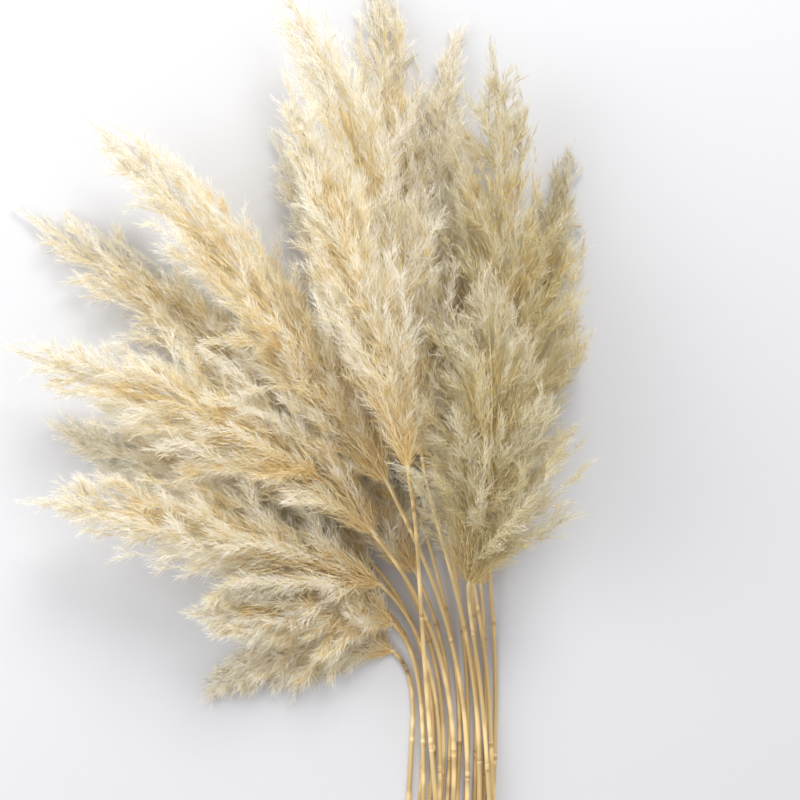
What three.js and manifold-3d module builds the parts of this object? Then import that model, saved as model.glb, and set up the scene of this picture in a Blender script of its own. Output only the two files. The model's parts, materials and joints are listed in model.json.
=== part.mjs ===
// A bunch of dried pampas grass, laid on a table: stalks that run side by side where they are
// gathered and fan out above it, each a straw stem with a soft plume on its end.
// Millimetres. +Z is up from the table, +Y runs from the cut ends to the plumes, +X is right.
import * as THREE from "three";
import { mergeVertices } from "three/addons/utils/BufferGeometryUtils.js";
import Module from "manifold-3d";

const wasm = await Module();
wasm.setup();

// ---- Driving dimensions ----
const STEM_DIAMETER = 5.5;
const STEM_SIDE_GAP = 4; // between neighbours in the lowest layer, where they are gathered
const LAYER_NARROWER = 16; // how much narrower each layer of stems is than the one below it
const STEM_GAP = 1.5; // left between a stem and the ones that lie on it
const STEM_BELOW_GATHER = 215; // from the gathering point down to the mean cut end
const CUT_LENGTHS = 5; // stems are cut to this many lengths, dealt out unevenly
const CUT_LENGTH_STEP = 8; // from one of those lengths to the next
const LAYER_SHIFT = 11; // how far a layer's cut ends lie to the right of the ones below
const RACHIS_DIAMETER = 4; // the stiff middle of a plume, which carries on from its stem
const RACHIS_SHARE = 0.85; // of the plume's length
const PLUME_HALF_WIDTH = 56; // of a plume of girth 1, at its widest
const PLUME_THICKNESS = 0.55; // thickness over width, as a plume sinks under its own weight
const TABLE_PRESS = 3; // how far the table flattens the lowest plumes
const RISE_LENGTH = 260; // distance from the gathering point over which the layers spread apart
const TIP_DROOP = 20; // how far a plume's tip hangs below its middle
const TOUCH_GAP = 0.3; // kept between solids that touch

const ROD_SIDES = 8;
const ROD_STEPS = 9;
const PLUME_SIDES = 14;
const PLUME_STEPS = 13;

const STRAW = { color: 0xcdb27c, roughness: 0.6, metalness: 0 };
const CREAM = { color: 0xe8dcc0, roughness: 0.95, metalness: 0 };
const TAN = { color: 0xd0b48a, roughness: 0.95, metalness: 0 };

// Each stalk from left to right round the fan. A lean is degrees from +Y, to the right if positive,
// and a reach is the distance from the gathering point. Bow bends the plume's middle to the left of
// the line from its foot to its tip. Layer 0 lies on the table.
const stalks = [
  { layer: 0, foot: { lean: -66, reach: 64 }, tip: { lean: -94, reach: 243 }, bow: -28, girth: 0.6 },
  { layer: 1, foot: { lean: -47, reach: 80 }, tip: { lean: -75, reach: 268 }, bow: -14, girth: 0.75 },
  { layer: 0, foot: { lean: -44, reach: 98 }, tip: { lean: -64, reach: 318 }, bow: -12, girth: 0.8 },
  { layer: 1, foot: { lean: -37, reach: 120 }, tip: { lean: -67, reach: 450 }, bow: -22, girth: 0.95 },
  { layer: 0, foot: { lean: -35, reach: 142 }, tip: { lean: -58, reach: 474 }, bow: -18, girth: 0.95 },
  { layer: 1, foot: { lean: -28, reach: 166 }, tip: { lean: -53, reach: 542 }, bow: -26, girth: 1.05 },
  { layer: 0, foot: { lean: -27, reach: 192 }, tip: { lean: -43, reach: 628 }, bow: -30, girth: 1.05 },
  { layer: 0, foot: { lean: -19, reach: 112 }, tip: { lean: -30, reach: 462 }, bow: -8, girth: 1 },
  { layer: 1, foot: { lean: -18, reach: 206 }, tip: { lean: -33, reach: 652 }, bow: -22, girth: 1.1 },
  { layer: 0, foot: { lean: -12, reach: 202 }, tip: { lean: -18.5, reach: 566 }, bow: -12, girth: 0.65 },
  { layer: 2, foot: { lean: -12, reach: 216 }, tip: { lean: -15.5, reach: 606 }, bow: -6, girth: 0.6 },
  { layer: 1, foot: { lean: -8, reach: 224 }, tip: { lean: -14.5, reach: 711 }, bow: -34, girth: 1 },
  { layer: 0, foot: { lean: -4.5, reach: 240 }, tip: { lean: -5.9, reach: 716 }, bow: 8, girth: 1.1 },
  { layer: 0, foot: { lean: 0.5, reach: 250 }, tip: { lean: 1.3, reach: 646 }, bow: 30, girth: 0.7 },
  { layer: 0, foot: { lean: 17, reach: 96 }, tip: { lean: -1, reach: 420 }, bow: -4, girth: 0.8 },
  { layer: 1, foot: { lean: 6, reach: 150 }, tip: { lean: 3, reach: 634 }, bow: -22, girth: 1.3, tan: true },
  { layer: 2, foot: { lean: 8, reach: 100 }, tip: { lean: 3.5, reach: 404 }, bow: -12, girth: 1.25, tan: true },
  { layer: 0, foot: { lean: 12, reach: 180 }, tip: { lean: 12.2, reach: 539 }, bow: -6, girth: 0.85, tan: true },
];

const stemRadius = STEM_DIAMETER / 2;
const rachisRadius = RACHIS_DIAMETER / 2;
const plumeHalfDepth = PLUME_HALF_WIDTH * PLUME_THICKNESS;
const layerOf = (stalk) => stalks.filter(({ layer }) => layer === stalk.layer);
const lowestLayer = stalks.filter(({ layer }) => layer === 0);
const gatherWidth = (lowestLayer.length - 1) * (STEM_DIAMETER + STEM_SIDE_GAP);

// ---- Where each stalk runs ----
const polar = ({ lean, reach }) => {
  const angle = THREE.MathUtils.degToRad(lean);
  return new THREE.Vector3(Math.sin(angle) * reach, Math.cos(angle) * reach, 0);
};

const stemHeight = (layer) => stemRadius + layer * (STEM_DIAMETER + STEM_GAP);
const plumeHeight = (layer) => plumeHalfDepth * (1 + 2 * layer) - TABLE_PRESS;

// A layer's height over the table grows from stems lying on stems to plumes lying on plumes.
function heightAt(layer, { x, y }) {
  const reach = Math.hypot(Math.max(Math.abs(x) - gatherWidth / 2, 0), Math.max(y, 0));
  const rise = THREE.MathUtils.smoothstep(reach, 0, RISE_LENGTH);
  return THREE.MathUtils.lerp(stemHeight(layer), plumeHeight(layer), rise);
}

// The middle line of a whole stalk, from its plan on the table. Its plume starts at the foot's
// share of the length and hangs lower towards its tip.
class StalkLine extends THREE.Curve {
  constructor(plan, layer, footShare) {
    super();
    Object.assign(this, { plan, layer, footShare });
  }

  getPoint(share, target = new THREE.Vector3()) {
    this.plan.getPointAt(share, target);
    const alongPlume = Math.max(share - this.footShare, 0) / (1 - this.footShare);
    target.z = heightAt(this.layer, target) - TIP_DROOP * alongPlume ** 2;
    return target;
  }
}

// The stretch of a line between two shares of its length.
class Stretch extends THREE.Curve {
  constructor(line, from, to) {
    super();
    Object.assign(this, { line, from, to });
  }

  getPoint(t, target) {
    return this.line.getPoint(THREE.MathUtils.lerp(this.from, this.to, t), target);
  }
}

// Where they are gathered, the stems of one layer lie side by side in the order of the fan, so none
// cross within a layer.
function gatherPlace(stalk) {
  const row = layerOf(stalk);
  const place = row.indexOf(stalk);
  const width = gatherWidth - stalk.layer * LAYER_NARROWER;
  const across = width * (place / (row.length - 1) - 0.5);
  const shift = (stalk.layer - 0.5) * LAYER_SHIFT;
  const longer = ((place * 3) % CUT_LENGTHS) - (CUT_LENGTHS - 1) / 2;
  return {
    gather: new THREE.Vector3(across, 0, 0),
    cut: new THREE.Vector3(across + shift, -STEM_BELOW_GATHER - longer * CUT_LENGTH_STEP, 0),
  };
}

// A stalk's stem, its plume and the plume's rachis, each as the line it runs along.
function linesOf(stalk) {
  const { gather, cut } = gatherPlace(stalk);
  const foot = polar(stalk.foot);
  const tip = polar(stalk.tip);
  const along = tip.clone().sub(foot).normalize();
  const left = new THREE.Vector3(-along.y, along.x, 0);
  const middle = foot.clone().lerp(tip, 0.5).addScaledVector(left, stalk.bow);
  const plan = new THREE.CatmullRomCurve3([cut, gather, foot, middle, tip], false, "centripetal");
  const footShare = shareAt(plan, foot);
  const gapShare = TOUCH_GAP / plan.getLength();
  const rachisEnd = THREE.MathUtils.lerp(footShare, 1, RACHIS_SHARE);
  const whole = new StalkLine(plan, stalk.layer, footShare);
  return {
    stem: new Stretch(whole, 0, footShare - gapShare),
    plume: new Stretch(whole, footShare, 1),
    rachis: new Stretch(whole, footShare, rachisEnd),
  };
}

// The share of a plan's length at which it passes a point on it.
function shareAt(plan, point) {
  const steps = 400;
  const missAt = (step) => plan.getPointAt(step / steps).distanceTo(point);
  let nearest = 0;
  for (let step = 1; step <= steps; step++) {
    if (missAt(step) < missAt(nearest)) nearest = step;
  }
  return nearest / steps;
}

// ---- Solids ----
function solidOf(geometry) {
  const bare = geometry.clone();
  bare.deleteAttribute("normal");
  bare.deleteAttribute("uv");
  const merged = mergeVertices(bare, 1e-3);
  return new wasm.Manifold(
    new wasm.Mesh({
      numProp: 3,
      vertProperties: merged.attributes.position.array,
      triVerts: new Uint32Array(merged.index.array),
    }),
  );
}

function geometryOf(solid) {
  const { vertProperties, triVerts } = solid.getMesh();
  const geometry = new THREE.BufferGeometry();
  geometry.setAttribute("position", new THREE.BufferAttribute(vertProperties, 3));
  geometry.setIndex(new THREE.BufferAttribute(triVerts, 1));
  geometry.computeVertexNormals();
  return geometry;
}

function rodGeometry(line, radius) {
  const section = new THREE.Shape();
  for (let i = 0; i < ROD_SIDES; i++) {
    const angle = (2 * Math.PI * (i + 0.5)) / ROD_SIDES;
    const at = [radius * Math.cos(angle), radius * Math.sin(angle)];
    if (i === 0) section.moveTo(...at);
    else section.lineTo(...at);
  }
  section.closePath();
  return new THREE.ExtrudeGeometry(section, { extrudePath: line, steps: ROD_STEPS });
}

// How full a plume is along its length: a slim foot, the widest part below the middle, a long
// tapering end.
const fullness = (t) => Math.sin(Math.PI * t ** 0.62);

function plumeGeometry(line, girth, extra = 0) {
  const profile = [new THREE.Vector2(0, 0)];
  for (let i = 0; i < PLUME_STEPS; i++) {
    const t = i / (PLUME_STEPS - 1);
    const radius = stemRadius + (girth * PLUME_HALF_WIDTH - stemRadius) * fullness(t);
    profile.push(new THREE.Vector2(radius + extra, t));
  }
  profile.push(new THREE.Vector2(0, 1));
  const spindle = new THREE.LatheGeometry(profile, PLUME_SIDES);
  return bentAlong(spindle, line);
}

// Wraps a spindle that stands on +Y from 0 to 1 round a line, flattened towards the table.
function bentAlong(spindle, line) {
  const up = new THREE.Vector3(0, 0, 1);
  const place = spindle.attributes.position;
  for (let i = 0; i < place.count; i++) {
    const centre = line.getPoint(place.getY(i));
    const along = line.getTangent(place.getY(i));
    const side = along.clone().cross(up).normalize();
    const over = side.clone().cross(along);
    centre.addScaledVector(side, place.getX(i));
    centre.addScaledVector(over, place.getZ(i) * PLUME_THICKNESS);
    place.setXYZ(i, centre.x, centre.y, centre.z);
  }
  return spindle;
}

// The space under the table top, as a cutter.
function underTable() {
  const wide = 4000;
  const box = new THREE.BoxGeometry(wide, wide, wide);
  box.translate(0, 0, -wide / 2);
  return solidOf(box);
}

// Where one soft plume presses on another it gives way, and a shaving cut loose is left off.
function mainBody(solid) {
  const bodies = solid.decompose();
  return bodies.reduce((most, body) => (body.volume() > most.volume() ? body : most));
}

// ---- The bunch ----
const lines = stalks.map(linesOf);
const bunch = new THREE.Group();

function add(name, geometry, look) {
  const mesh = new THREE.Mesh(geometry, new THREE.MeshStandardMaterial(look));
  mesh.name = name;
  bunch.add(mesh);
}

const label = (kind, i) => `${kind}_${String(i + 1).padStart(2, "0")}`;
let taken = underTable();
lines.forEach(({ stem }, i) => {
  add(label("stem", i), rodGeometry(stem, stemRadius), STRAW);
  taken = taken.add(solidOf(rodGeometry(stem, stemRadius + TOUCH_GAP)));
});

// A plume gives way to the stems, to every other plume's rachis and to the plumes under it, but
// its own rachis always joins it to its stem.
const spaceOfRachis = lines.map(({ rachis }) => solidOf(rodGeometry(rachis, rachisRadius + TOUCH_GAP)));
const lowestFirst = stalks.map((_, i) => i).sort((a, b) => stalks[a].layer - stalks[b].layer || a - b);
for (const i of lowestFirst) {
  const { girth, tan } = stalks[i];
  const { plume, rachis } = lines[i];
  let soft = solidOf(plumeGeometry(plume, girth)).subtract(taken);
  spaceOfRachis.forEach((space, other) => {
    if (other !== i) soft = soft.subtract(space);
  });
  const whole = mainBody(soft.add(solidOf(rodGeometry(rachis, rachisRadius))));
  taken = taken.add(solidOf(plumeGeometry(plume, girth, TOUCH_GAP)));
  add(label("plume", i), geometryOf(whole), tan ? TAN : CREAM);
}

// The frame's origin is the middle of the bunch's box, on the table.
const box = new THREE.Box3().setFromObject(bunch);
const middle = box.getCenter(new THREE.Vector3());
bunch.position.set(-middle.x, -middle.y, -box.min.z);

export default bunch;
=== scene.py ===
# %% [markdown]
# # A bunch of dried pampas grass
# Eighteen stalks of pampas grass, cut, dried and laid down on a table in one bunch. Each stalk is a
# hard straw stem, and on its end sits a plume: a soft flower head as long as a forearm. A plume looks
# like fur, but it is built like a tree. A stiff rachis carries on from the stem, thin branches leave
# it and arch forward, side branches leave those, and all of them are clothed in silky hairs. This
# script grows the plumes in that order, because the pointed sprays at the outline, which give the
# plant its character, come from the branching and can't be had from hair on a plain body.

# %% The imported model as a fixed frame
import json
import math

import bmesh
import bpy
import numpy as np
from mathutils import Matrix, Vector


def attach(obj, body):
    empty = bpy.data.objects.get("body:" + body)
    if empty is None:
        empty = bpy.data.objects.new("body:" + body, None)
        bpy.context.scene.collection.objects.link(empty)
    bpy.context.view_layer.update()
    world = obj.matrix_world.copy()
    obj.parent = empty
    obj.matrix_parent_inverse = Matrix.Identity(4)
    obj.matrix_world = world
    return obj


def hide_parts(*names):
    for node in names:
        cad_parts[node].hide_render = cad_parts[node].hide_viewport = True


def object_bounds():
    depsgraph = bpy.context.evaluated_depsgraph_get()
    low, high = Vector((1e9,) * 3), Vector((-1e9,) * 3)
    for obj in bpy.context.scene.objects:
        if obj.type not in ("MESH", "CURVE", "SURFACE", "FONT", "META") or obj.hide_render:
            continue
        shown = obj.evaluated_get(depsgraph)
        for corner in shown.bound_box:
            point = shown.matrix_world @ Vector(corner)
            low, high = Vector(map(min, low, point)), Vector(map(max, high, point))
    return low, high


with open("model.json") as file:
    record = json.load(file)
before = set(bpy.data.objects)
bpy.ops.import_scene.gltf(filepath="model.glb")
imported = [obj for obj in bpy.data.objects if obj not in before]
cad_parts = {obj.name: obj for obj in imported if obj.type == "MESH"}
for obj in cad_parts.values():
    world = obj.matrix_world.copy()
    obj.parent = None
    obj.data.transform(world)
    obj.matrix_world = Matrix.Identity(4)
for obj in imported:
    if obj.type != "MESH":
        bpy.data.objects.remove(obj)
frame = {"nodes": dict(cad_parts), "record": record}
cad_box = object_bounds()
stalk_numbers = range(1, 1 + sum(name.startswith("plume_") for name in frame["nodes"]))
print("stalks:", len(stalk_numbers), "box:", [[round(v, 3) for v in corner] for corner in cad_box])

# %% [markdown]
# ## Camera
# The bunch lies down, so the camera hangs over the table and looks straight down on it, with the
# plumes up the picture. A wide lens from close by would make the plumes on top look too large and
# show the sides of those at the edge, so it stands well back with a long lens. That also leaves the
# cut ends just below the picture, where a vase would hide them.

# %% Camera
VIEW_WIDTH = 0.76
VIEW_HEIGHT_ABOVE_TABLE = 0.09
CAMERA_DISTANCE = 2.0
AIM = (0.103, 0.035)  # the spot on the table in the middle of the picture
SENSOR = 36.0


def make_camera():
    data = bpy.data.cameras.new("camera")
    data.sensor_width = SENSOR
    data.lens = SENSOR * CAMERA_DISTANCE / VIEW_WIDTH
    camera = bpy.data.objects.new("camera", data)
    camera.location = (*AIM, VIEW_HEIGHT_ABOVE_TABLE + CAMERA_DISTANCE)
    bpy.context.collection.objects.link(camera)
    bpy.context.scene.camera = camera
    print("camera:", [round(v, 3) for v in camera.location], "lens", round(data.lens, 1), "mm")


make_camera()

# %% [markdown]
# ## Where the stalks lie
# Nothing is placed by eye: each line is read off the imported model. A packed stem is a rod with eight
# corners to each ring, so its corners, sorted from the cut end upwards, give one ring centre for
# every eight. A packed plume is a spindle flattened towards the table, whose highest edge runs
# straight above its middle line. Its neighbours press its sides in, but they leave that edge.

# %% Middle line of a stem
ROD_CORNERS = 8


def merged_points(node):
    points = np.array([vertex.co for vertex in bpy.data.objects[node].data.vertices])
    return np.unique(points.round(5), axis=0)


def stem_line(number):
    points = merged_points(f"stem_{number:02d}")
    rings = points[np.argsort(points[:, 1])].reshape(-1, ROD_CORNERS, 3)
    return rings.mean(axis=1)


stem_lines = {number: stem_line(number) for number in stalk_numbers}
print("rings to a stem:", {len(line) for line in stem_lines.values()})

# %% Middle line and girth of a plume
SLICES = 12
PRESSED = 0.55  # thickness of a plume over its width


def fullness(t):
    return np.sin(np.pi * np.clip(t, 0, 1) ** 0.62)


def plume_line(number):
    points = merged_points(f"plume_{number:02d}")
    foot = stem_lines[number][-1]
    tip = points[np.argmax(np.linalg.norm(points - foot, axis=1))]
    chord = tip - foot
    along = (points - foot) @ chord / (chord @ chord)
    side = np.cross(chord, (0, 0, 1))
    side /= np.linalg.norm(side)
    across = (points - foot) @ side
    edges = np.linspace(0, 1, SLICES + 1)
    ridge = []
    for low, high in zip(edges[1:-2], edges[2:-1]):
        inside = np.flatnonzero((along >= low) & (along < high))
        if len(inside):
            ridge.append(inside[np.argmax(points[inside, 2])])
    ridge = np.array(ridge)
    # a bend is a cubic that starts at the foot and ends at the tip
    t = along[ridge]
    shapes = np.stack([t * (1 - t), t * t * (1 - t)], axis=1)
    bend = np.linalg.lstsq(shapes, across[ridge], rcond=None)[0]

    def offset(t):
        return t * (1 - t) * (bend[0] + bend[1] * t)

    reach = np.abs(across - offset(np.clip(along, 0, 1))) / np.maximum(fullness(along), 0.3)
    radius = np.percentile(reach[(along > 0.15) & (along < 0.7)], 92)
    top = points[ridge, 2] - PRESSED * radius * fullness(t)
    level = foot[2] + chord[2] * t
    lift = np.linalg.lstsq(shapes, top - level, rcond=None)[0]

    def line(t):
        inner = np.clip(t, 0, 1)
        rise = inner * (1 - inner) * (lift[0] + lift[1] * inner)
        return foot + np.outer(t, chord) + np.outer(offset(inner), side) + np.outer(rise, (0, 0, 1))

    return line, float(radius), float(np.linalg.norm(chord))


plume_lines = {number: plume_line(number) for number in stalk_numbers}
for number, (line, radius, length) in plume_lines.items():
    print(f"plume {number}: {length * 1000:.0f} mm long, {2000 * radius:.0f} mm across")

# %% [markdown]
# ## Table and light
# The floor is one pale plain sheet. A wide lamp above the plumes gives the soft shadows, and a
# bright sky fills them, so that the hairs glow from all sides as they do in a light room. Deep in a
# plume the light has passed from hair to hair many times, and each time it has turned a little more
# golden, so it is allowed more bounces than usual. A single hard lamp was the other way, but it
# leaves black gaps between the plumes.

# %% Floor and lamps
FLOOR_SIDE = 6.0
KEY_PLACE = (0.55, 2.1, 1.8)
KEY_SIDE = 1.1
KEY_POWER = 60
FILL_PLACE = (-1.5, 0.3, 1.1)
FILL_SIDE = 1.6
FILL_POWER = 24
SKY_STRENGTH = 0.86
LIGHT_BOUNCES = 10


def hue(red, green, blue):
    """A colour as a painter names it, 0 to 255, in the linear numbers that a shader takes."""
    parts = [channel / 255 for channel in (red, green, blue)]
    linear = [p / 12.92 if p <= 0.04045 else ((p + 0.055) / 1.055) ** 2.4 for p in parts]
    return (*linear, 1.0)


def new_material(name):
    material = bpy.data.materials.new(name)
    material.use_nodes = True
    nodes = material.node_tree.nodes
    return material, nodes, material.node_tree.links, nodes["Principled BSDF"]


def finish_mesh(bm, name, material, smooth=True):
    mesh = bpy.data.meshes.new(name)
    bm.to_mesh(mesh)
    bm.free()
    mesh.materials.append(material)
    mesh.polygons.foreach_set("use_smooth", [smooth] * len(mesh.polygons))
    piece = bpy.data.objects.new(name, mesh)
    bpy.context.collection.objects.link(piece)
    return piece


def make_floor():
    material, nodes, links, surface = new_material("table_top")
    surface.inputs["Roughness"].default_value = 0.9
    surface.inputs["Specular IOR Level"].default_value = 0.1
    grain = nodes.new("ShaderNodeTexNoise")
    grain.inputs["Scale"].default_value = 3.0
    shade = nodes.new("ShaderNodeValToRGB")
    shade.color_ramp.elements[0].color = hue(197, 197, 198)
    shade.color_ramp.elements[1].color = hue(202, 202, 202)
    links.new(grain.outputs["Fac"], shade.inputs["Fac"])
    links.new(shade.outputs["Color"], surface.inputs["Base Color"])
    bm = bmesh.new()
    bmesh.ops.create_grid(bm, x_segments=1, y_segments=1, size=FLOOR_SIDE / 2)
    floor = finish_mesh(bm, "floor", material)


def make_light():
    lamps = (("key", KEY_PLACE, KEY_SIDE, KEY_POWER), ("fill", FILL_PLACE, FILL_SIDE, FILL_POWER))
    for name, place, side, power in lamps:
        data = bpy.data.lights.new(name, "AREA")
        data.size = side
        data.energy = power
        lamp = bpy.data.objects.new(name, data)
        lamp.location = place
        lamp.rotation_euler = (-Vector(place)).to_track_quat("-Z", "Y").to_euler()
        bpy.context.collection.objects.link(lamp)
    world = bpy.data.worlds.new("sky")
    world.use_nodes = True
    sky = world.node_tree.nodes["Background"]
    sky.inputs["Color"].default_value = hue(250, 250, 255)
    sky.inputs["Strength"].default_value = SKY_STRENGTH
    bpy.context.scene.world = world
    bpy.context.scene.view_settings.view_transform = "Standard"
    bpy.context.scene.cycles.diffuse_bounces = LIGHT_BOUNCES


make_floor()
make_light()
print("key and fill lamps:", KEY_POWER, "and", FILL_POWER, "W, bounces:", LIGHT_BOUNCES)

# %% [markdown]
# ## Straw stems
# A pampas stem is a reed: a hollow straw with fine ribs, thickened every hand's width by a joint
# that a leaf once grew from. The leaves are stripped off a stalk that is sold for a vase. A curve
# with a bevel would give a bare tube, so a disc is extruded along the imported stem's line instead,
# ring by ring, and each ring is scaled for its taper and its joints. Each corner also keeps how far
# along and which way round it sits, which the straw's grain then follows.

# %% Rods along a line
TABLE_GAP = 0.0003  # left under whatever lies on the table
STEM_SIDES = 14
STEM_RINGS = 64
JOINT_SPACING = 0.135
JOINT_SWELL = 0.2
JOINT_LENGTH = 0.003


def smooth_line(points, count):
    """Resamples a line evenly, as a fifth-degree curve through its points."""
    legs = np.linalg.norm(np.diff(points, axis=0), axis=1)
    travelled = np.concatenate([[0], np.cumsum(legs)])
    share = travelled / travelled[-1]
    fits = [np.polyfit(share, points[:, k], 5) for k in range(3)]
    even = np.linspace(0, 1, count)
    return np.stack([np.polyval(fit, even) for fit in fits], axis=1)


def ring_frames(points):
    """One matrix for each point, with its Z along the line."""
    ahead = np.gradient(points, axis=0)
    frames = []
    for point, direction in zip(points, ahead):
        turn = Vector(direction).to_track_quat("Z", "Y").to_matrix().to_4x4()
        frames.append(Matrix.Translation(point) @ turn)
    return frames


def rod(points, radii, sides):
    """A closed rod along a line, as a bmesh, with the rings' places in its grain layer."""
    bm = bmesh.new()
    grain = bm.verts.layers.float_vector.new("grain")
    bmesh.ops.create_circle(bm, cap_ends=True, segments=sides, radius=1.0)
    bm.faces.ensure_lookup_table()
    face = bm.faces[0]
    corners = [vertex.co.copy() for vertex in face.verts]
    ring = list(face.verts)
    travelled = 0.0
    for i, (place, radius) in enumerate(zip(ring_frames(points), radii)):
        if i:
            travelled += float(np.linalg.norm(points[i] - points[i - 1]))
            grown = bmesh.ops.extrude_face_region(bm, geom=[face])["geom"]
            face = next(part for part in grown if isinstance(part, bmesh.types.BMFace))
            ring = list(face.verts)
        for vertex, corner in zip(ring, corners):
            vertex.co = place @ Vector((corner.x * radius, corner.y * radius, 0))
            vertex[grain] = (corner.x, corner.y, travelled)
    bmesh.ops.recalc_face_normals(bm, faces=bm.faces)
    return bm


# %% [markdown]
# ## The finish of the straw
# Dry straw is a dull satin yellow with fine ribs along it, blotched where it was in the sun, and
# browner at the joints. A noise stretched along the stem gives the ribs and their relief, and a
# coarse one the blotches. The ribs follow each corner's place on its stem, so they bend with it.

# %% Straw
def straw_material(name, dark, light, joints):
    material, nodes, links, surface = new_material(name)
    surface.inputs["Specular IOR Level"].default_value = 0.4
    where = nodes.new("ShaderNodeAttribute")
    where.attribute_name = "grain"
    stretch = nodes.new("ShaderNodeMapping")
    stretch.inputs["Scale"].default_value = (4.0, 4.0, 14.0)
    streaks = nodes.new("ShaderNodeTexNoise")
    streaks.inputs["Scale"].default_value = 2.0
    streaks.inputs["Detail"].default_value = 6.0
    blotches = nodes.new("ShaderNodeTexNoise")
    blotches.inputs["Scale"].default_value = 9.0
    spot = nodes.new("ShaderNodeTexCoord")
    shade = nodes.new("ShaderNodeValToRGB")
    shade.color_ramp.elements[0].position = 0.3
    shade.color_ramp.elements[0].color = dark
    shade.color_ramp.elements[1].position = 0.72
    shade.color_ramp.elements[1].color = light
    mix = nodes.new("ShaderNodeMath")
    mix.operation = "MULTIPLY_ADD"
    mix.inputs[1].default_value = 0.45
    halve = nodes.new("ShaderNodeMath")
    halve.operation = "MULTIPLY"
    halve.inputs[1].default_value = 0.55
    links.new(where.outputs["Vector"], stretch.inputs["Vector"])
    links.new(stretch.outputs["Vector"], streaks.inputs["Vector"])
    links.new(spot.outputs["Object"], blotches.inputs["Vector"])
    links.new(blotches.outputs["Fac"], halve.inputs[0])
    links.new(streaks.outputs["Fac"], mix.inputs[0])
    links.new(halve.outputs["Value"], mix.inputs[2])
    links.new(mix.outputs["Value"], shade.inputs["Fac"])
    colour = shade.outputs["Color"]
    if joints:
        colour = joint_bands(nodes, links, where, colour)
    links.new(colour, surface.inputs["Base Color"])
    rough = nodes.new("ShaderNodeMapRange")
    rough.inputs["To Min"].default_value = 0.42
    rough.inputs["To Max"].default_value = 0.68
    links.new(streaks.outputs["Fac"], rough.inputs["Value"])
    links.new(rough.outputs["Result"], surface.inputs["Roughness"])
    ribs = nodes.new("ShaderNodeBump")
    ribs.inputs["Strength"].default_value = 0.35
    ribs.inputs["Distance"].default_value = 0.0004
    links.new(streaks.outputs["Fac"], ribs.inputs["Height"])
    links.new(ribs.outputs["Normal"], surface.inputs["Normal"])
    return material


def joint_bands(nodes, links, where, colour):
    """Darkens a narrow band at each joint of the stem."""
    split = nodes.new("ShaderNodeSeparateXYZ")
    links.new(where.outputs["Vector"], split.inputs["Vector"])
    wrapped = nodes.new("ShaderNodeMath")
    wrapped.operation = "PINGPONG"
    wrapped.inputs[1].default_value = JOINT_SPACING / 2
    links.new(split.outputs["Z"], wrapped.inputs[0])
    band = nodes.new("ShaderNodeMapRange")
    band.inputs["From Min"].default_value = 0.0008
    band.inputs["From Max"].default_value = 0.003
    band.inputs["To Min"].default_value = 0.4
    band.inputs["To Max"].default_value = 0.0
    links.new(wrapped.outputs["Value"], band.inputs["Value"])
    stain = nodes.new("ShaderNodeMix")
    stain.data_type = "RGBA"
    stain.inputs["B"].default_value = hue(142, 98, 50)
    links.new(band.outputs["Result"], stain.inputs["Factor"])
    links.new(colour, stain.inputs["A"])
    return stain.outputs["Result"]


straw = straw_material("golden_straw", hue(184, 146, 84), hue(236, 212, 156), joints=True)
rachis_straw = straw_material("rachis_straw", hue(212, 190, 138), hue(238, 226, 190), joints=False)

# %% [markdown]
# ## One stem
# Each stem is a little thinner towards its plume and swells at its joints. Its cut end is open, as
# the straw is a tube: the end face is inset for the wall and pushed inwards for the hollow. A whole
# tube would cost twice the faces for an inside that nothing shows.

# %% One stem with its joints and hollow end
STEM_RADIUS = 0.00275  # of the thickest stem at its cut end
STEM_THINNEST = 0.82  # the thinnest stem over the thickest
STEM_TAPER = 0.28
RIM = 0.32  # wall of the straw at its cut end, over its radius
HOLLOW_DEPTH = 0.006


def stem_radii(points, rng):
    legs = np.linalg.norm(np.diff(points, axis=0), axis=1)
    travelled = np.concatenate([[0], np.cumsum(legs)])
    share = travelled / travelled[-1]
    to_joint = np.abs((travelled + JOINT_SPACING / 2) % JOINT_SPACING - JOINT_SPACING / 2)
    swell = JOINT_SWELL * np.exp(-((to_joint / JOINT_LENGTH) ** 2))
    thick = STEM_RADIUS * rng.uniform(STEM_THINNEST, 1.0)
    return thick * (1 - STEM_TAPER * share) * (1 + swell)


def dense_line(points):
    """Evenly spaced points, with more of them at each joint, so that its swelling shows."""
    fine = smooth_line(points, 400)
    legs = np.linalg.norm(np.diff(fine, axis=0), axis=1)
    travelled = np.concatenate([[0], np.cumsum(legs)])
    stops = list(np.linspace(0, travelled[-1], STEM_RINGS // 2))
    for joint in np.arange(0, travelled[-1], JOINT_SPACING):
        stops += [joint + step * JOINT_LENGTH for step in (-2, -1, -0.5, 0, 0.5, 1, 2)]
    stops = np.unique(np.clip(stops, 0, travelled[-1]).round(4))
    return np.stack([np.interp(stops, travelled, fine[:, k]) for k in range(3)], axis=1)


def make_stem(number):
    rng = np.random.default_rng(900 + number)
    node = f"stem_{number:02d}"
    points = dense_line(stem_lines[number])
    radii = stem_radii(points, rng)
    points[:, 2] = np.maximum(points[:, 2], radii + TABLE_GAP)
    bm = rod(points, radii, STEM_SIDES)
    # the cut end is a hollow with a pithy rim
    end = min(bm.faces, key=lambda face: face.calc_center_median().y)
    bmesh.ops.inset_individual(bm, faces=[end], thickness=radii[0] * RIM)
    well = bmesh.ops.extrude_face_region(bm, geom=[end])["geom"]
    inward = Vector(points[1] - points[0]).normalized() * HOLLOW_DEPTH
    for vertex in {v for part in well if isinstance(part, bmesh.types.BMFace) for v in part.verts}:
        vertex.co += inward
    if end.is_valid:
        bmesh.ops.delete(bm, geom=[end], context="FACES_ONLY")
    bmesh.ops.recalc_face_normals(bm, faces=bm.faces)
    piece = finish_mesh(bm, f"straw_{number:02d}", straw)
    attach(piece, "root")
    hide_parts(node)
    return radii


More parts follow.
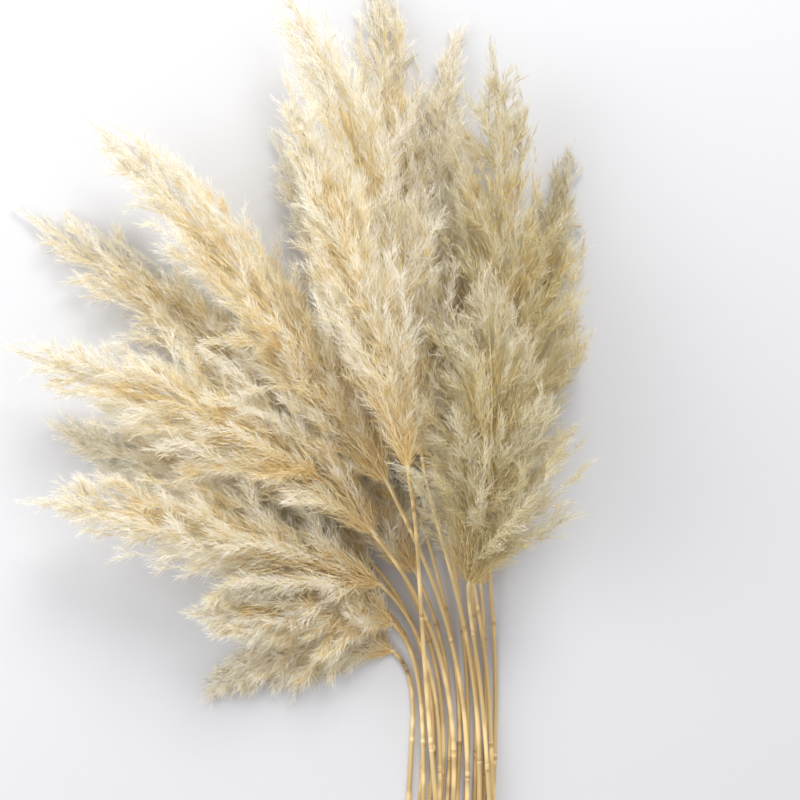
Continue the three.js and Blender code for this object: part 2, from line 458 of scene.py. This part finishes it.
def node_slot(node):
    parts = frame["record"]["subparts"]
    return next(part["material_slot"] for part in parts if part["node"] == node)


stem_sizes = {number: make_stem(number) for number in stalk_numbers}
print("stems:", len(stem_sizes))

# %% [markdown]
# ## One hair
# A silky hair is too thin to be modelled hundreds of thousands of times with round sides, and hair
# curves have no mesh of their own. So each hair is the leanest closed shape there is: a long cone
# with three sides. Its two texture coordinates carry all that its colour needs. Up the map runs the
# hair from root to tip, and across the map lies its tone: a painted shade, golden deep in a plume
# where little light gets in, paling to its lit, bleached outside.

# %% The hair that is copied
MAP_NAME = "OFBake"
MAP_WIDTH = 0.004  # of one hair across the map


def hair_shape():
    bm = bmesh.new()
    bmesh.ops.create_cone(
        bm, cap_ends=True, cap_tris=False, segments=3, radius1=0.5, radius2=0, depth=1,
        matrix=Matrix.Translation((0, 0, 0.5)),
    )
    bmesh.ops.remove_doubles(bm, verts=bm.verts, dist=1e-6)
    bmesh.ops.triangulate(bm, faces=bm.faces)
    bm.verts.ensure_lookup_table()
    corners = np.array([vertex.co for vertex in bm.verts])
    faces = np.array([[vertex.index for vertex in face.verts] for face in bm.faces])
    bm.free()
    return corners, faces


hair_corners, hair_faces = hair_shape()
print("a hair has", len(hair_corners), "corners and", len(hair_faces), "faces")


# %% Many hairs as one mesh
def hair_mesh(name, roots, directions, lengths, widths, hues_and_shades, material, rng):
    """Copies the hair to each root, turned along its direction."""
    count = len(roots)
    ahead = directions / np.linalg.norm(directions, axis=1, keepdims=True)
    roots = roots.copy()
    roots[:, 2] = np.maximum(roots[:, 2], widths)
    lowest = (TABLE_GAP - roots[:, 2]) / lengths
    ahead[:, 2] = np.maximum(ahead[:, 2], lowest)
    helper = rng.normal(size=(count, 3))
    side = np.cross(ahead, helper)
    side /= np.linalg.norm(side, axis=1, keepdims=True)
    over = np.cross(ahead, side)
    x, y, z = hair_corners.T
    places = roots[:, None] + widths[:, None, None] * (
        x[None, :, None] * side[:, None] + y[None, :, None] * over[:, None]
    ) + (lengths[:, None] * z)[:, :, None] * ahead[:, None]
    corner_count = len(hair_corners)
    faces = hair_faces[None] + corner_count * np.arange(count)[:, None, None]
    mesh = bpy.data.meshes.new(name)
    mesh.from_pydata(places.reshape(-1, 3), [], faces.reshape(-1, 3))
    # tone across the map, root to tip up it
    u = hues_and_shades[:, None] + MAP_WIDTH * (x[None] + 0.3 * y[None])
    v = np.broadcast_to(0.02 + 0.94 * z + 0.03 * (x + 0.5), (count, corner_count))
    corner_map = np.stack([np.clip(u, 0.002, 0.998), v], axis=-1).reshape(-1, 2)
    uv = mesh.uv_layers.new(name=MAP_NAME)
    uv.data.foreach_set("uv", corner_map[faces.reshape(-1)].ravel())
    mesh.materials.append(material)
    piece = bpy.data.objects.new(name, mesh)
    bpy.context.collection.objects.link(piece)
    return piece


# %% [markdown]
# ## The finish of the hairs
# The shade deep inside a plume is painted into its hairs as a golden colour, and the lit outside as a
# pale one, and each hair pales towards its tip. Both runs are colour ramps on the hair's own map.
# Light also passes through such fine hairs, so a part of the surface is translucent, which is what
# makes a plume glow.

# %% Plume materials
def plume_material(name, hues_and_shades, root_shade, tip_shade, see_through):
    material, nodes, links, surface = new_material(name)
    surface.inputs["Roughness"].default_value = 0.75
    surface.inputs["Specular IOR Level"].default_value = 0.25
    where = nodes.new("ShaderNodeUVMap")
    where.uv_map = MAP_NAME
    split = nodes.new("ShaderNodeSeparateXYZ")
    links.new(where.outputs["UV"], split.inputs["Vector"])
    hue_and_shade = nodes.new("ShaderNodeValToRGB")
    ramp = hue_and_shade.color_ramp
    while len(ramp.elements) < len(hues_and_shades):
        ramp.elements.new(0.5)
    for element, (place, colour) in zip(ramp.elements, hues_and_shades):
        element.position = place
        element.color = colour
    along = nodes.new("ShaderNodeValToRGB")
    along.color_ramp.elements[0].color = root_shade
    along.color_ramp.elements[1].color = tip_shade
    both = nodes.new("ShaderNodeMix")
    both.data_type = "RGBA"
    both.blend_type = "MULTIPLY"
    both.inputs["Factor"].default_value = 1.0
    links.new(split.outputs["X"], hue_and_shade.inputs["Fac"])
    links.new(split.outputs["Y"], along.inputs["Fac"])
    links.new(hue_and_shade.outputs["Color"], both.inputs["A"])
    links.new(along.outputs["Color"], both.inputs["B"])
    links.new(both.outputs["Result"], surface.inputs["Base Color"])
    glow = nodes.new("ShaderNodeBsdfTranslucent")
    links.new(both.outputs["Result"], glow.inputs["Color"])
    blend = nodes.new("ShaderNodeMixShader")
    blend.inputs["Fac"].default_value = see_through
    links.new(surface.outputs["BSDF"], blend.inputs[1])
    links.new(glow.outputs["BSDF"], blend.inputs[2])
    links.new(blend.outputs["Shader"], nodes["Material Output"].inputs["Surface"])
    return material


LIGHTEST_SILK = 0.84
SPIKELET_TONE = 0.9  # and above
# tone ramps: 0.0 to 0.86 is painted shade, golden deep in a plume and near white where it is lit; from
# 0.9 up is the spikelets' own beige
cream = plume_material(
    "bleached_silk",
    [
        (0.0, hue(236, 201, 122)),
        (0.2, hue(245, 233, 188)),
        (0.45, hue(249, 249, 245)),
        (0.86, hue(253, 254, 254)),
        (0.9, hue(234, 228, 210)),
        (1.0, hue(249, 248, 243)),
    ],
    hue(253, 249, 238), hue(255, 255, 255), 0.3,
)
# the same painted shade and lit white as the cream ramp, in tan
tan = plume_material(
    "natural_silk",
    [
        (0.0, hue(217, 189, 120)),
        (0.2, hue(227, 211, 155)),
        (0.45, hue(234, 230, 203)),
        (0.86, hue(244, 244, 240)),
        (0.9, hue(215, 208, 186)),
        (1.0, hue(235, 232, 221)),
    ],
    hue(250, 244, 228), hue(255, 255, 255), 0.3,
)

# %% [markdown]
# ## Strands
# A branch, whether it leaves the rachis or another branch, is here a strand: a line of points with a
# share of hairs along it. The rachis gives off its branches in a spiral, as most grasses do, so each
# leaves a golden angle round from the last. A branch runs forward close to the rachis and then arches
# away from it, with side branches along nearly all of it. A few slender ones hug the rachis to the
# very end. Hairs straight on a spindle would be quicker, but they make a fox's tail: the separate
# sprays that mark this plant only come from branches.

# %% Branches of one plume
GOLDEN_ANGLE = math.pi * (3 - math.sqrt(5))
POINTS = 14
BRANCHES = 105
LAST_ROOT = 0.86  # share of the plume's length at which the last branch leaves the rachis
LONGEST_SPAN = 0.42  # share of the plume's length that the lowest branch can run along
SHORTEST_SPAN = 0.05
SHORT_CHANCE = 0.35  # of a branch being one of the short ones
LONG_SHARE = (0.55, 1.0)
SHORT_SHARE = (0.25, 0.5)
SPREAD = (0.45, 1.28)  # how far a branch arches out, over the plume's radius
STRAY_CHANCE = 0.07
STRAY_SPREAD = 1.25
LAST_TIP = 1.0  # how far along its plume the last branch reaches
TIP_RUN = 0.24  # the stretch before it in which the last branches end, one by one
TIP_BRANCHES = 9  # slender ones that hug the rachis and draw the tip out to a point
ARCH = (0.55, 0.95)  # below 1, a branch leaves the rachis steeply and then bends forward
WAVE = 0.0022
SIDE_BRANCHES = (6, 10)  # from the fewest up to one short of the last number
SIDE_REACH = (0.016, 0.038)
SIDE_BOW = (0.25, 0.5)
SIDE_POINTS = 6


def branch_strands(line, radius, length, rng):
    """Returns the branches and side branches of a plume as (points, tone, place, is_branch)."""
    strands = []
    s = np.linspace(0, 1, POINTS)
    plume_tone = rng.uniform(-0.05, 0.05)
    for _ in range(TIP_BRANCHES):
        start, end = rng.uniform(0.6, 0.84), rng.uniform(0.95, 1.02)
        spread = radius * rng.uniform(0.1, 0.4)
        turn = rng.uniform(0, 2 * math.pi)
        points = along_plume(line, s, start, end - start, spread, turn, 0.3, rng)
        # painted light: the slender tip branches stand out where the plume is lit and take a pale tone
        strands.append((points, plume_tone + rng.uniform(0.3, 0.45), end, True))
    for i in range(BRANCHES):
        start = LAST_ROOT * ((i + 0.5) / BRANCHES) ** 1.15
        long = rng.random() > SHORT_CHANCE
        full_share = rng.uniform(*LONG_SHARE) if long else rng.uniform(*SHORT_SHARE)
        last = LAST_TIP - TIP_RUN * rng.random() ** 0.8
        span = min(full_share * (LONGEST_SPAN - 0.22 * start), last - start)
        span = max(span, SHORTEST_SPAN)
        stray = STRAY_SPREAD if rng.random() < STRAY_CHANCE else 1.0
        spread = stray * radius * rng.uniform(*SPREAD)
        turn = GOLDEN_ANGLE * i + rng.normal(0, 0.25)
        twist = rng.normal(0, 0.5)
        points = along_plume(line, s, start, span, spread, turn, twist, rng)
        # painted shade: branches low on the plume lie deeper in its shade and take a more golden tone;
        # plume_tone and the random part are the plant's own variation
        hue_and_shade = plume_tone + rng.uniform(0, 0.26) + 0.2 * (start + span)
        strands.append((points, hue_and_shade, start + span, True))
        size = span * length
        for _ in range(rng.integers(*SIDE_BRANCHES)):
            root = rng.uniform(0.12, 0.95)
            side = side_strand(points, root, size, rng)
            strands.append((side, hue_and_shade + rng.normal(0, 0.05), start + span * root, False))
    return strands


def plume_frame(line, t):
    """Middle line, direction, sideways and upwards of a plume at each share of its length."""
    step = 0.004
    tangent = line(t + step) - line(t - step)
    tangent /= np.linalg.norm(tangent, axis=1, keepdims=True)
    side = np.cross(tangent, (0, 0, 1))
    side /= np.linalg.norm(side, axis=1, keepdims=True)
    return line(t), tangent, side, np.cross(side, tangent)


def along_plume(line, s, start, span, spread, turn, twist, rng):
    """A branch that runs along a plume from a share of its length, and arches out of it."""
    t = start + span * s
    centre, _, side, over = plume_frame(line, t)
    out = spread * (0.1 + 0.9 * fullness(t)) * s ** rng.uniform(*ARCH)
    out += spread * rng.uniform(-0.08, 0.16) * s ** 3 * np.sqrt(1 - np.clip(t, 0, 1))
    angle = turn + twist * s
    wave = WAVE * np.sin(2 * math.pi * (s * rng.uniform(0.8, 1.6) + rng.random())) * s
    points = centre + (out * np.cos(angle) + wave)[:, None] * side
    points += (out * np.sin(angle) * PRESSED)[:, None] * over
    return points


def side_strand(points, root, size, rng):
    """A side branch that leaves a branch at a share of it and bows to one side."""
    s = np.linspace(0, 1, SIDE_POINTS)
    place = root * (POINTS - 1)
    at = int(place)
    base = points[at] + (points[min(at + 1, POINTS - 1)] - points[at]) * (place - at)
    ahead = points[min(at + 2, POINTS - 1)] - points[at - 1]
    ahead /= np.linalg.norm(ahead)
    aside = np.cross(ahead, rng.normal(size=3))
    aside /= np.linalg.norm(aside)
    reach = rng.uniform(*SIDE_REACH) * (1.15 - 0.5 * root) * min(1, size / 0.12 + 0.3)
    bow = rng.uniform(*SIDE_BOW)
    return base + reach * (s[:, None] * ahead + bow * (s ** 1.1)[:, None] * aside)


# %% [markdown]
# ## Hairs on the strands
# Two kinds of hair clothe a strand. The silk, long and fine, stands along most of it and makes the
# fur. The spikelets, which are the dry flowers, are short, stout and beige, and line its bare end
# at a steady angle. Towards the tip of a plume the silk has mostly blown away and the spikelets show,
# so the share of each is worked out along every strand instead of being one number for all.

# %% Hairs on the strands
HAIR_SPACING = 0.00088
SILK_LENGTH = (0.012, 0.02)
SILK_WIDTH = (0.00037, 0.00058)
SILK_SPLAY = (0.2, 1.15)  # sideways over forwards
TWIG_REACH = 0.0019  # silk sits on twigs too fine to build, about this far off the strand
SPIKELET_SPACING = 0.0024
SPIKELET_LENGTH = (0.008, 0.0125)
SPIKELET_WIDTH = (0.0005, 0.00075)
SPIKELET_SPLAY = (0.2, 0.65)
THIN_FROM = 0.5  # share of the plume's length from which it grows more open towards its tip
OVERHANG = 0.011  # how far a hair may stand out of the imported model's box


def on_strand(points, travelled, places):
    """Where the places along a strand lie, and which way the strand runs there."""
    roots = np.stack([np.interp(places, travelled, points[:, k]) for k in range(3)], axis=1)
    leg = np.clip(np.searchsorted(travelled, places) - 1, 0, len(travelled) - 2)
    ahead = (points[leg + 1] - points[leg]) / np.diff(travelled)[leg][:, None]
    return roots, ahead


def away_from(ahead, rng):
    """A random direction square to each given one."""
    out = rng.normal(size=ahead.shape)
    out -= (out * ahead).sum(axis=1, keepdims=True) * ahead
    return out / np.linalg.norm(out, axis=1, keepdims=True)


def silk_hairs(points, travelled, places, hue_and_shade, thin, rng):
    roots, ahead = on_strand(points, travelled, places)
    out = away_from(ahead, rng)
    count, share = len(places), places / travelled[-1]
    roots = roots + rng.normal(0, TWIG_REACH * (1 - 0.8 * thin), roots.shape)
    splay = rng.uniform(*SILK_SPLAY, count) * (1.15 - 0.5 * share) * (1 - 0.45 * thin)
    lengths = rng.uniform(*SILK_LENGTH, count) * (1.1 - 0.4 * share) * (1 - 0.5 * thin)
    widths = rng.uniform(*SILK_WIDTH, count)
    # painted light: the silk pales towards the outer end of its strand, out where the plume is lit
    hues_and_shades = np.clip(hue_and_shade + 0.35 * share + rng.normal(0, 0.05, count), 0.01, LIGHTEST_SILK)
    return roots, ahead + splay[:, None] * out, lengths, widths, hues_and_shades


def spikelets(points, travelled, places, rng):
    roots, ahead = on_strand(points, travelled, places)
    out = away_from(ahead, rng)
    count, share = len(places), places / travelled[-1]
    splay = rng.uniform(*SPIKELET_SPLAY, count)
    lengths = rng.uniform(*SPIKELET_LENGTH, count) * (1 - 0.3 * share)
    widths = rng.uniform(*SPIKELET_WIDTH, count)
    hues_and_shades = SPIKELET_TONE + 0.02 + 0.07 * rng.random(count)
    return roots, ahead + splay[:, None] * out, lengths, widths, hues_and_shades


def clothe(strands, rng):
    """Returns the roots, directions, lengths, widths and tones of the hairs on all strands."""
    parts = []
    for points, hue_and_shade, place, is_branch in strands:
        legs = np.linalg.norm(np.diff(points, axis=0), axis=1)
        travelled = np.concatenate([[0], np.cumsum(legs)])
        total = travelled[-1]
        # towards the tip of a plume the silk thins out, and the spikelets show
        thin = np.clip((place - THIN_FROM) / (1 - THIN_FROM), 0, 1)
        bare_from = total * (0.8 if is_branch else 0.62) * (1 - 0.55 * thin)
        places = np.arange(rng.uniform(0, HAIR_SPACING), total * 0.98, HAIR_SPACING)
        places = places[(places < bare_from) | (rng.random(len(places)) < 0.45)]
        places = places[rng.random(len(places)) > 0.75 * thin]
        parts.append(silk_hairs(points, travelled, places, hue_and_shade, thin, rng))
        places = np.arange(bare_from, total, SPIKELET_SPACING)
        parts.append(spikelets(points, travelled, places, rng))
    return [np.concatenate(values) for values in zip(*parts)]


def trimmed(roots, directions, lengths, widths, hues_and_shades):
    """Leaves off the hairs whose tips would stand too far out."""
    ahead = directions / np.linalg.norm(directions, axis=1, keepdims=True)
    tips = roots + lengths[:, None] * ahead
    low, high = np.array(cad_box[0]) - OVERHANG, np.array(cad_box[1]) + OVERHANG
    kept = ((tips > low) & (tips < high)).all(axis=1) | (tips[:, 2] <= 0)
    return roots[kept], directions[kept], lengths[kept], widths[kept], hues_and_shades[kept]


# %% [markdown]
# ## The heart of a plume
# The rachis tapers from the stem almost to the tip: the same rod as a stem, with a plume's line.
# Round it the down of hundreds of branch roots is packed so tightly that no light comes through. A
# solid core would do that too, but it shows as a hard body wherever the silk parts. So longer,
# broader hairs are laid close along the rachis, leaning forward, coloured a painted golden shade that
# stands in for the dark heart of the plume.

# %% Rachis and the down round it
RACHIS_RINGS = 30
RACHIS_SIDES = 8
DOWN_HAIRS = 1700  # in each plume
DOWN_LENGTH = (0.016, 0.03)
DOWN_WIDTH = (0.0007, 0.0011)
# painted shade: the down sits at the golden end of the tone ramp
DOWN_SHADE = (0.02, 0.22)
DOWN_SHARE = 0.5  # how far out the roots of the down lie, over the plume's radius
DOWN_REACH = 0.7  # share of the plume's length that has down


def make_rachis(number):
    line, radius, _ = plume_lines[number]
    t = np.linspace(-0.01, 0.96, RACHIS_RINGS)
    thick = stem_sizes[number][-1]
    radii = thick * (1.0 - 0.85 * np.linspace(0, 1, RACHIS_RINGS))
    rachis = finish_mesh(rod(line(t), radii, RACHIS_SIDES), f"rachis_{number:02d}", rachis_straw)
    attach(rachis, "root")


def down_hairs(line, radius, rng):
    """Broad hairs close round the rachis, leaning forward, in a painted golden shade."""
    t = DOWN_REACH * rng.random(DOWN_HAIRS)
    centre, tangent, side, over = plume_frame(line, t)
    out = DOWN_SHARE * radius * fullness(t) * np.sqrt(rng.random(DOWN_HAIRS))
    angle = rng.uniform(0, 2 * math.pi, DOWN_HAIRS)
    outward = np.cos(angle)[:, None] * side + PRESSED * np.sin(angle)[:, None] * over
    roots = centre + out[:, None] * outward
    directions = tangent + rng.uniform(0.1, 0.7, DOWN_HAIRS)[:, None] * outward
    directions += rng.normal(0, 0.18, roots.shape)
    lengths = rng.uniform(*DOWN_LENGTH, DOWN_HAIRS) * (1 - 0.4 * t)
    widths = rng.uniform(*DOWN_WIDTH, DOWN_HAIRS)
    # painted shade: the nearer the rachis a root lies, the more golden its hair
    hues_and_shades = 0.4 * out / radius + rng.uniform(*DOWN_SHADE, DOWN_HAIRS)
    hues_and_shades = np.clip(hues_and_shades, 0.01, LIGHTEST_SILK)
    return roots, directions, lengths, widths, hues_and_shades


for number in stalk_numbers:
    make_rachis(number)
print("rachises:", len(stalk_numbers), "down hairs in each plume:", DOWN_HAIRS)

# %% [markdown]
# ## The plumes
# Strands, silk, spikelets and down of a plume become one mesh, as they grew as one piece. Each plume
# has its own seed, so no two are alike and each comes out the same on every run. The three at the
# right were not bleached and take the tan silk.

# %% Plumes
def make_plume(number):
    rng = np.random.default_rng(400 + number)
    line, radius, length = plume_lines[number]
    node = f"plume_{number:02d}"
    is_tan = node_slot(node) == "plume_tan"
    strands = branch_strands(line, radius, length, rng)
    silk = clothe(strands, rng)
    down = down_hairs(line, radius, rng)
    hairs = trimmed(*(np.concatenate(pair) for pair in zip(silk, down)))
    piece = hair_mesh(f"silk_{number:02d}", *hairs, tan if is_tan else cream, rng)
    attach(piece, "root")
    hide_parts(node)
    print(node, len(strands), "strands,", len(hairs[0]), "hairs,", len(piece.data.polygons), "faces")
    return len(piece.data.polygons)


print("faces in all plumes:", sum([make_plume(number) for number in stalk_numbers]))
